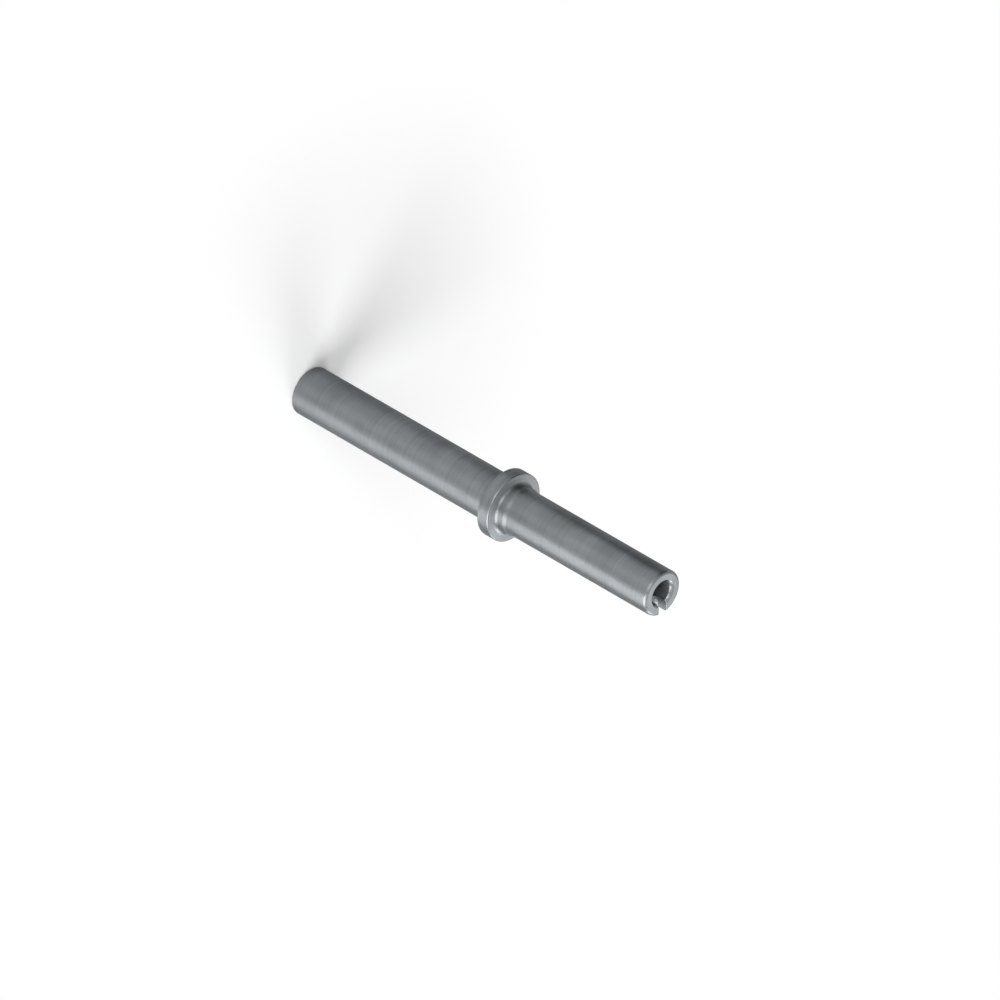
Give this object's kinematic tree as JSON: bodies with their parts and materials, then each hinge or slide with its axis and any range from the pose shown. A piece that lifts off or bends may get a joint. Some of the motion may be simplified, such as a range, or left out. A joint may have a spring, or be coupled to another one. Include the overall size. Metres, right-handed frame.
{
  "type": "drive shaft",
  "caption": "Turned steel drive shaft with a collar, a journal ending in a countersunk blind bore, and a drive slot through one side of the bore's wall.",
  "frame": {"origin": "centre of the plain end face, which is the foot that the shaft stands on", "axes": "+Z along the shaft's axis, from the foot to the slotted end; the drive slot opens towards -Y"},
  "size_m": [0.03, 0.03, 0.2],
  "materials": {
    "steel": "fine-turned grey steel, satin, with no plating or paint"
  },
  "bodies": {
    "root": {"drive_shaft": "steel"}
  },
  "joints": []
}
